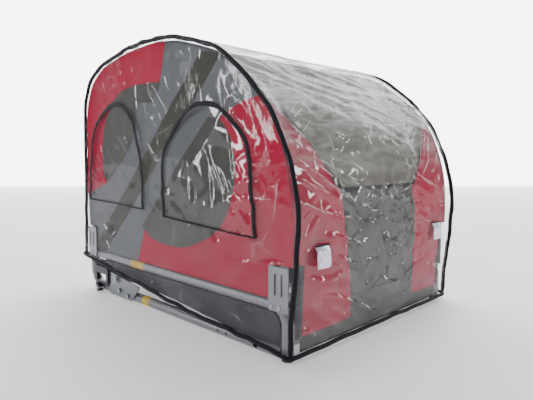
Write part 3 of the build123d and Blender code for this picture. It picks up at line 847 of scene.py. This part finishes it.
sill, ln = rear_piece("rear_sill_cloth", 26.1, 98, lambda z: -rear_half(z, -1) - (290 - rear_half(z, -1)) * smooth(47, 44, z),
                      lambda z: rear_half(z, 1) + (290 - rear_half(z, 1)) * smooth(47, 44, z), M_DOOR, 40, 60)
sp = np.array([v.co for v in sill.data.vertices])
drop = smooth(0.050, 0.026, sp[:, 2]) * 0.013
for v, d_ in zip(sill.data.vertices, drop):
    v.co.z -= float(d_)
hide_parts("rear_sill")
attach(sill, "trailer_frame")

W_DOOR = Waves(31, 40, 140, 16)
C_DOOR = Creases(32, 26, (0, 300), (-150, 150), (40, 130), (5, 12), (1.5, 5.0), np.array([D(0), D(80), D(-60), D(50)]), 0.4)


def door_off(S, V):
    zz = np.interp(S, BA.s, BA.p[:, 1])
    e = smooth(98, 130, zz) * smooth(333, 300, zz)
    crumple = smooth(150, 230, zz)
    return -2.5 + np.clip(1.6 * W_DOOR(S, V) + (0.25 + crumple) * C_DOOR(S - S.min(), V), -9, 3.0) * e


door, ln = rear_piece("door_cloth", 98.6, 332.3, lambda z: -rear_half(z, -1) + 0.6, lambda z: rear_half(z, 1) - 0.6, M_DOOR, 110, 120, door_off)
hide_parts("rear_door")
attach(door, "rear_door")
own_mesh(door)


# bound edges of the roof where it narrows, and its hem
def bound(name, path, mat, a=5.0, b=1.4, up=None, body="trailer_frame"):
    p = np.asarray(path, float)
    o = tube(name, p, lambda i: oval(a, b), mat, up if up is not None else (0, 1, 0))
    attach(o, body)
    return o


def on_rear(z, y, lift=0.8):
    s = BA.s_where(z=z)
    S, V = np.array([[s]]), np.array([[y]])
    off = float(roof_off(S, V)[0, 0] if z > 334 else rear_off(S, V)[0, 0])
    x, zz = BA.at(s, off + lift)
    return (float(x), y, float(zz))


for sgn, tag in ((-1, "left"), (1, "right")):
    zs = np.linspace(540, 336, 60)
    path = [on_rear(z, sgn * (float(rear_half(z, sgn)) - 3.0), 1.2) for z in zs]
    o = bound(f"roof_edge_binding_{tag}", path, M_TAPE, 4.2, 1.0, (1, 0, 0.3))
    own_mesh(o)
for sgn, tag in ((-1, "left"), (1, "right")):
    zs = np.linspace(CORNER[sgn] - 2, 46, 50)
    path = []
    for z in zs:
        s_ = BA.s_where(z=z)
        x_, z_ = BA.at(s_, 0.6)
        path.append((float(x_), sgn * 293.5, float(z_)))
    bound(f"column_edge_strip_{tag}", path, M_TAPE, 5.5, 1.0, (1, 0, 0.1))
ys = np.linspace(-165, 140, 70)
o = bound("roof_hem_binding", [on_rear(337, float(y), 1.2) for y in ys], M_TAPE, 3.8, 1.0, (1, 0, 0.1))
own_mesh(o)

# ---------------------------------------------------------------------------
# tub: fabric between the rails
# ---------------------------------------------------------------------------
W_TUB = Waves(41, 60, 240, 14)


def tub_side(sgn, tag):
    r = 27.0
    th = np.linspace(math.pi / 2, 0, 12)
    outer = [(240, 28), (162, 33), (62, 43), (0, 48), (-62, 53), (-128, 55), (-368, 55), (-368, 94.6), (392 - r, 94.6)]
    outer += [(392 - r + r * math.cos(a), 94.6 - r + r * math.sin(a)) for a in th[1:]]
    outer += [(392, 26.2)]
    pts, faces, edge = trimmed(outer, [], 4.0)
    e = smooth(95, 82, pts[:, 1])
    y = 318.4 + np.clip(1.5 * W_TUB(pts[:, 0], pts[:, 1]), -3, 3) * e
    v = np.stack([pts[:, 0], sgn * y, pts[:, 1]], 1) * MM
    o = mesh(f"tub_cloth_{tag}", v, faces if sgn < 0 else faces[:, ::-1], M_TUB)
    add_mod(o, "SOLIDIFY", thickness=0.0014, offset=-1)
    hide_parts(f"tub_side_{tag}")
    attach(o, "trailer_frame")


for sgn, tag in ((-1, "left"), (1, "right")):
    tub_side(sgn, tag)


def tub_end(name, node, x, out_, mat=M_TUB):
    lo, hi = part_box(node)
    y = np.linspace(lo.y, hi.y, 90) / MM
    z = np.linspace(lo.z, hi.z, 22) / MM
    Y, Z = np.meshgrid(y, z, indexing="ij")
    e = smooth(0, 12, Z - z[0]) * smooth(0, 12, z[-1] - Z)
    X = x + out_ * np.clip(1.2 * W_TUB(Y, Z), -2, 2) * e
    o = mesh(name, np.stack([X, Y, Z], -1).reshape(-1, 3) * MM, grid_faces(90, 22), mat)
    add_mod(o, "SOLIDIFY", thickness=0.0014, offset=0)
    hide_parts(node)
    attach(o, "trailer_frame")


tub_end("tub_front_cloth", "tub_front", -369, -1)
tub_end("tub_rear_cloth", "tub_rear", 387.4, 1)

# floor pad: a quilted mat
lo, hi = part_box("floor_pad")
W_PAD = Waves(51, 60, 200, 14)


def pad():
    x = np.linspace(lo.x + 0.001, hi.x - 0.001, 120)
    y = np.linspace(lo.y + 0.001, hi.y - 0.001, 100)
    X, Y = np.meshgrid(x, y, indexing="ij")
    u = (X - x[0]) / (x[-1] - x[0])
    w = (Y - y[0]) / (y[-1] - y[0])
    edge = np.clip(np.minimum(np.minimum(u, 1 - u) * (x[-1] - x[0]), np.minimum(w, 1 - w) * (y[-1] - y[0])) / 0.022, 0, 1)
    round_ = np.sqrt(np.clip(1 - (1 - edge) ** 2, 0, 1))
    quilt = np.abs(np.sin(math.pi * u * 4)) ** 0.5 * np.abs(np.sin(math.pi * w * 3)) ** 0.5
    zt = lo.z + 0.006 + (hi.z - lo.z - 0.007) * round_ * (0.72 + 0.28 * quilt) + 0.0006 * W_PAD(X / MM, Y / MM) * edge
    zb = lo.z + 0.0004 + (1 - round_) * 0.005 + 0 * X
    top = np.stack([X, Y, zt], -1).reshape(-1, 3)
    bot = np.stack([X, Y, zb], -1).reshape(-1, 3)
    n = len(top)
    f = grid_faces(120, 100)
    faces = f + [tuple(n + k for k in q[::-1]) for q in f]
    ring = [i * 100 for i in range(120)] + [119 * 100 + j for j in range(1, 100)] \
        + [i * 100 + 99 for i in range(118, -1, -1)] + [j for j in range(98, 0, -1)]
    for a, b in zip(ring, ring[1:] + ring[:1]):
        faces.append((a, n + a, n + b, b))
    o = mesh("floor_mat", np.concatenate([top, bot]), faces, M_PAD)
    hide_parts("floor_pad")
    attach(o, "trailer_frame")


pad()

# ---------------------------------------------------------------------------
# rain cover
# ---------------------------------------------------------------------------
L_C = CA.length
W_FILM = Waves(61, 150, 420, 12)
W_FILM2 = Waves(62, 40, 120, 16, aim=D(40), spread=0.5)
C_TOP = Creases(63, 46, (0, L_C), (-310, 310), (120, 420), (6, 15), (1.2, 4.0), np.array([D(35), D(-35), D(90), D(20)]), 0.25)
C_FINE = Creases(64, 90, (0, L_C), (-310, 310), (30, 110), (3, 6), (0.5, 1.6), np.array([D(0), D(90), D(45), D(-45)]), 0.5)
RIDGE_A = Waves(65, 60, 200, 16, aim=D(-24), spread=0.22)
RIDGE_B = Waves(66, 34, 110, 16, aim=D(35), spread=0.45)
RIDGE_M = Waves(67, 130, 420, 10)
S_HEM = CA.s_where(z=400), CA.s_where(z=130)
C_REAR = Creases(69, 70, S_HEM, (-200, 300), (35, 130), (3.5, 8), (2.0, 6.0), np.array([D(15), D(-35), D(60), D(95)]), 0.4)
RIDGE_C = Waves(68, 90, 260, 12, aim=D(-8), spread=0.25)


def folds(S, V, w, m, amp):
    """Narrow raised folds where the wave field crosses zero, coming and going over the sheet."""
    f = np.clip(1 - np.abs(w(S, V)) * 1.25, 0, 1) ** 1.6
    return amp * f * smooth(-0.3, 1.1, m(S, V))


TABS = [(-247.0, 206.0), (247.0, 206.0)]


def shell_off(S, V):
    zz = np.interp(S, CA.s, CA.p[:, 1])
    xx = np.interp(S, CA.s, CA.p[:, 0])
    e = smooth(322, 285, np.abs(V)) * smooth(0, 30, S) * smooth(L_C, L_C - 30, S)
    top = smooth(560, 660, zz)
    w = 3.0 * W_FILM(S, V) + 0.9 * W_FILM2(S, V) + C_TOP(S, V) + C_FINE(S, V)
    w = w + folds(S, V, RIDGE_A, lambda a, b: 0.6 + RIDGE_M(a, b), 8.0) + folds(S, V, RIDGE_B, lambda a, b: -RIDGE_M(a, b), 3.5) - 2.0
    w = w + C_REAR(S, V) * smooth(0, 60, xx)
    r = -3.0 - 2.5 * top * smooth(322, 120, np.abs(V)) + w * e
    room = 3.6 + 5.0 * smooth(398, 428, xx)          # free depth down to the fabric
    r = -3.5 + room * np.tanh((r + 3.5) / room)
    for ty, tz in TABS:
        d2 = ((V - ty) / 42.0) ** 2 + ((zz - tz) / 46.0) ** 2
        r = np.where(xx > 0, r * (1 - np.exp(-d2)) - 13.0 * np.exp(-d2), r)
    return np.minimum(r, 1.5)


def shell_sheet():
    s = np.linspace(2, L_C - 2, 640)
    v = np.linspace(-322, 322, 221)
    S, V = np.meshgrid(s, v, indexing="ij")
    x, z = CA.at(S, shell_off(S, V))
    verts = np.stack([x, V, z], -1).reshape(-1, 3) * MM
    o = mesh("cover_top_film", verts, np.array(grid_faces(len(s), len(v)))[:, ::-1], M_FILM_TOP)
    add_mod(o, "SOLIDIFY", thickness=0.0007, offset=0)
    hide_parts("cover_shell")
    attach(o, "rain_cover")


shell_sheet()

W_S1 = Waves(71, 160, 420, 10)
W_S2 = Waves(72, 45, 120, 14, aim=D(45), spread=0.6)
C_S1 = Creases(73, 34, (-420, 430), (30, 680), (90, 260), (5, 12), (0.8, 2.8), np.array([D(45), D(-45), D(90), D(10)]), 0.25)
C_S2 = Creases(74, 80, (-420, 430), (30, 680), (20, 80), (2.5, 5), (0.4, 1.2), np.array([D(0), D(90), D(45), D(-45)]), 0.5)


C_S3 = Creases(75, 60, (-60, 425), (40, 430), (18, 70), (3, 7), (0.7, 2.2), np.array([D(20), D(-50), D(80), D(140)]), 0.5)


def arch_gap(x, z):
    """Distance of a point from the cover's arch, roughly (mm)."""
    key = (np.size(x), float(np.sum(x)), float(np.sum(z)))
    p = np.stack([np.ravel(x), np.ravel(z)], 1)
    q = CA.poly(-2, 20)
    best = np.full(len(p), 1e18)
    for i in range(0, len(q)):
        best = np.minimum(best, (p[:, 0] - q[i, 0]) ** 2 + (p[:, 1] - q[i, 1]) ** 2)
    return np.sqrt(best).reshape(np.shape(x))


def film_y(x, z):
    g = smooth(0, 60, arch_gap(x, z)) * smooth(0, 26, np.asarray(z) - hem_z(x))
    w = 1.6 * W_S1(x, z) + 0.5 * W_S2(x, z) + C_S1(x, z) + C_S2(x, z)
    w = w + folds(x, z, RIDGE_B, RIDGE_M, 2.2) - 0.6
    w = w + 1.4 * C_S3(x, z)
    return 330.9 + np.clip(w * g, -4.5, 5.5)


def closed_window(points):
    c, _ = spline(points, 160)
    bottom = np.linspace(c[-1], c[0], 40)[1:-1]
    return np.concatenate([c, bottom])


WINS = {"front": WIN_FRONT, "rear": WIN_REAR}


def side_film(sgn, tag):
    arch = CA.poly(-3.0, 12)
    arch = arch[arch[:, 1] > hem_z(arch[:, 0]) + 1]
    xs = np.linspace(430, -444, 160)
    hem = np.stack([xs, hem_z(xs)], 1)
    outer = np.concatenate([arch, hem])
    holes = [closed_window(w) for w in WINS.values()]
    pts, faces, edge = trimmed(outer, holes, 3.6)
    v = np.stack([pts[:, 0], sgn * film_y(pts[:, 0], pts[:, 1]), pts[:, 1]], 1) * MM
    o = mesh(f"cover_film_{tag}", v, faces if sgn < 0 else faces[:, ::-1], M_FILM_SIDE)
    add_mod(o, "SOLIDIFY", thickness=0.0006, offset=0)
    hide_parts(f"cover_side_{tag}")
    hx, hz = outer[:, 0], outer[:, 1]
    a = 0.5 * abs(np.sum(hx * np.roll(hz, -1) - np.roll(hx, -1) * hz))
    for h in holes:
        a -= 0.5 * abs(np.sum(h[:, 0] * np.roll(h[:, 1], -1) - np.roll(h[:, 0], -1) * h[:, 1]))
    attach(o, "rain_cover")
    return a


W_PIPE = Waves(81, 60, 200, 12)


def piping(sgn, tag):
    s = np.linspace(0, L_C, 520)
    wob = W_PIPE(s, s * 0)
    wob2 = W_PIPE(s + 300, s * 0)
    x, z = CA.at(s, -4.0 + np.clip(1.1 * wob, -2.5, 2.5))
    y = sgn * (327.2 + np.clip(0.9 * wob2, -1.5, 1.5))
    p = np.stack([x, y, z], 1)
    n = Waves(82, 25, 60, 8)
    o = tube(f"piping_cord_{tag}", p, lambda i: oval(5.4 + 0.35 * n(s[i], 0), 4.6, 14, 2.2), M_TAPE, (0, 1, 0))
    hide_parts(f"piping_{tag}")
    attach(o, "rain_cover")


def hem_loop():
    n_ = 260
    xs = np.linspace(427, -446, n_)
    zs = hem_z(xs) + 1.2 * W_PIPE(xs * 1.2, 40)
    left = np.stack([xs, np.full(n_, -333.0) + 0.8 * W_PIPE(xs, 90), zs], 1)
    yf = np.linspace(-326, 326, 120)
    front = np.stack([np.full(120, -451.0), yf, 99.2 + 0.8 * W_PIPE(yf, 70)], 1)
    right = left[::-1] * np.array([1, -1, 1])
    yr = np.linspace(326, -326, 120)
    rear = np.stack([np.full(120, 433.0), yr, 14.0 + 0.8 * W_PIPE(yr, 20)], 1)
    p = np.concatenate([left, front, right, rear])
    # round the corners a little
    for _ in range(3):
        p = (np.roll(p, 1, 0) + 2 * p + np.roll(p, -1, 0)) / 4
    t = np.roll(p, -1, 0) - np.roll(p, 1, 0)
    outv = np.stack([p[:, 0], p[:, 1], 0 * p[:, 0]], 1)
    up = np.cross(t, np.cross(outv, t))
    up = np.array([(0, 0, 1)] * len(p), float)
    o = tube("hem_cord", p, lambda i: oval(3.8, 5.0, 12, 2.2), M_TAPE, up, closed=True)
    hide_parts("hem_binding")
    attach(o, "rain_cover")


def window(sgn, tag, which):
    poly = closed_window(WINS[which])
    pts, faces, edge = trimmed(poly, [], 3.6)
    y = film_y(pts[:, 0], pts[:, 1]) + 0.25
    y = 331.2 + (y - 331.2) * 0.6
    v = np.stack([pts[:, 0], sgn * y, pts[:, 1]], 1) * MM
    o = mesh(f"window_film_{which}_{tag}", v, faces if sgn < 0 else faces[:, ::-1], M_FILM_WIN)
    add_mod(o, "SOLIDIFY", thickness=0.0006, offset=0)
    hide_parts(f"window_{which}_{tag}")
    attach(o, f"window_{which}_{tag}")
    c, ln = spline(WINS[which], 220)
    wv = Waves(91 + len(which), 30, 90, 10)
    k = np.linspace(0, ln, len(c))
    t = np.gradient(c, axis=0)
    t /= np.linalg.norm(t, axis=1)[:, None]
    c2 = c + np.stack([-t[:, 1], t[:, 0]], 1) * (0.7 * wv(k, 0))[:, None]
    p = np.stack([c2[:, 0], sgn * (film_y(c2[:, 0], c2[:, 1]) + 1.2), c2[:, 1]], 1)
    o1 = tube(f"window_tape_{which}_{tag}", p, lambda i: oval(5.6, 1.1, 14, 3.0), M_TAPE, (0, 1, 0))
    b = np.linspace(c[0], c[-1], 60)
    pb = np.stack([b[:, 0], sgn * (film_y(b[:, 0], b[:, 1]) + 1.0), b[:, 1]], 1)
    o2 = tube(f"window_hinge_tape_{which}_{tag}", pb, lambda i: oval(2.2, 0.9, 10, 3.0), M_TAPE, (0, 1, 0))
    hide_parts(f"window_{which}_tape_{tag}")
    for q in (o1, o2):
        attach(q, f"window_{which}_{tag}")


for sgn, tag in ((-1, "left"), (1, "right")):
    side_film(sgn, tag)
    piping(sgn, tag)
    for which in WINS:
        window(sgn, tag, which)
hem_loop()


def tabs():
    obs = []
    for i, (ty, tz) in enumerate(TABS):
        n1, n2 = 26, 20
        y = np.linspace(-21, 21, n1)
        z = np.linspace(-22.5, 22.5, n2)
        Y, Z = np.meshgrid(y, z, indexing="ij")
        X = 449.8 - 2.4 * (Y / 21) ** 2 - 6.0 * smooth(8, 22.5, Z) + 0.5 * W_ROOF2(Y * 2 + 40 * i, Z * 2)
        o = mesh(f"reflector_tab_{i}", np.stack([X, Y + ty, Z + tz], -1).reshape(-1, 3) * MM, grid_faces(n1, n2), M_REFLECT)
        add_mod(o, "SOLIDIFY", thickness=0.0024, offset=-1)
        add_mod(o, "BEVEL", width=0.0006, segments=2)
        obs.append(o)
        e = np.array([(449.4 - 6.4, ty + yy, tz + 23.2) for yy in np.linspace(-21.5, 21.5, 20)])
        w = tube(f"reflector_webbing_{i}", e, lambda k: oval(1.6, 1.6, 10, 3.0), M_TAPE, (1, 0, 0))
        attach(w, "rain_cover")
    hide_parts("reflector_tabs")
    for o in obs:
        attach(o, "rain_cover")


tabs()

# ---------------------------------------------------------------------------
# stage, light and camera
# ---------------------------------------------------------------------------
sc = bpy.context.scene


def floor_material():
    m = Mat("floor_paper")
    n = m.noise(1.3, 3.0)
    c = m.ramp(n, [(0.3, lin(228, 228, 230)), (0.7, lin(234, 234, 236))])
    b = m.bsdf(Base_Color=c, Roughness=0.75, Emission_Color=c)
    b.inputs["Emission Strength"].default_value = 0.46
    return m.done(b)


fl = mesh("floor", [(-8, -8, -0.0005), (8, -8, -0.0005), (8, 8, -0.0005), (-8, 8, -0.0005)], [(0, 1, 2, 3)], floor_material())

w = bpy.data.worlds.new("studio")
w.use_nodes = True
w.node_tree.nodes["Background"].inputs[0].default_value = (0.95, 0.97, 1.0, 1)
w.node_tree.nodes["Background"].inputs[1].default_value = 0.20
sc.world = w


def backdrop():
    """Bright paper wall behind the object."""
    m = Mat("backdrop_paper")
    n = m.noise(0.6, 2.0)
    e = m.node("Emission")
    m.link(m.ramp(n, [(0.3, (0.97, 0.98, 1.0, 1)), (0.7, (1, 1, 1, 1))]), e.inputs["Color"])
    e.inputs["Strength"].default_value = 7.0
    mat = m.done(e)
    c = Vector((-3.6, 3.6, 0))
    t = Vector((1, 1, 0)).normalized() * 9
    o = mesh("backdrop", [c - t + Vector((0, 0, -0.5)), c + t + Vector((0, 0, -0.5)), c + t + Vector((0, 0, 6)), c - t + Vector((0, 0, 6))],
             [(0, 1, 2, 3)], mat)


backdrop()


def area(name, loc, target, size, energy, col=(1, 1, 1), size_y=None):
    d = bpy.data.lights.new(name, "AREA")
    d.shape = "RECTANGLE"
    d.size = size
    d.size_y = size_y or size
    d.energy = energy
    d.color = col
    o = bpy.data.objects.new(name, d)
    sc.collection.objects.link(o)
    o.location = loc
    o.rotation_euler = (Vector(target) - Vector(loc)).to_track_quat("-Z", "Y").to_euler()
    return o


area("key", (0.8, -2.5, 2.3), (0, 0, 0.35), 0.45, 30)
area("top", (-0.3, 0.6, 2.9), (0, 0, 0.4), 0.7, 26)
area("rear_fill", (2.8, 0.4, 1.5), (0, 0, 0.35), 0.4, 11)
area("strip_left", (-2.2, -2.6, 0.9), (0, 0, 0.4), 0.16, 22, size_y=1.4)
area("strip_right", (2.6, 2.3, 0.9), (0, 0, 0.4), 0.16, 22, size_y=1.4)

cam_d = bpy.data.cameras.new("cam")
cam_d.lens = 33.39
cam_d.sensor_width = 36
cam_d.clip_start = 0.02
cam = bpy.data.objects.new("cam", cam_d)
sc.collection.objects.link(cam)
cam.location = (1.0517, -1.0219, 0.4093)
az, el = D(44.77), D(5.167)
fwd = Vector((-math.sin(az) * math.cos(el), math.cos(az) * math.cos(el), -math.sin(el)))
cam.rotation_euler = fwd.to_track_quat("-Z", "Y").to_euler()
sc.camera = cam
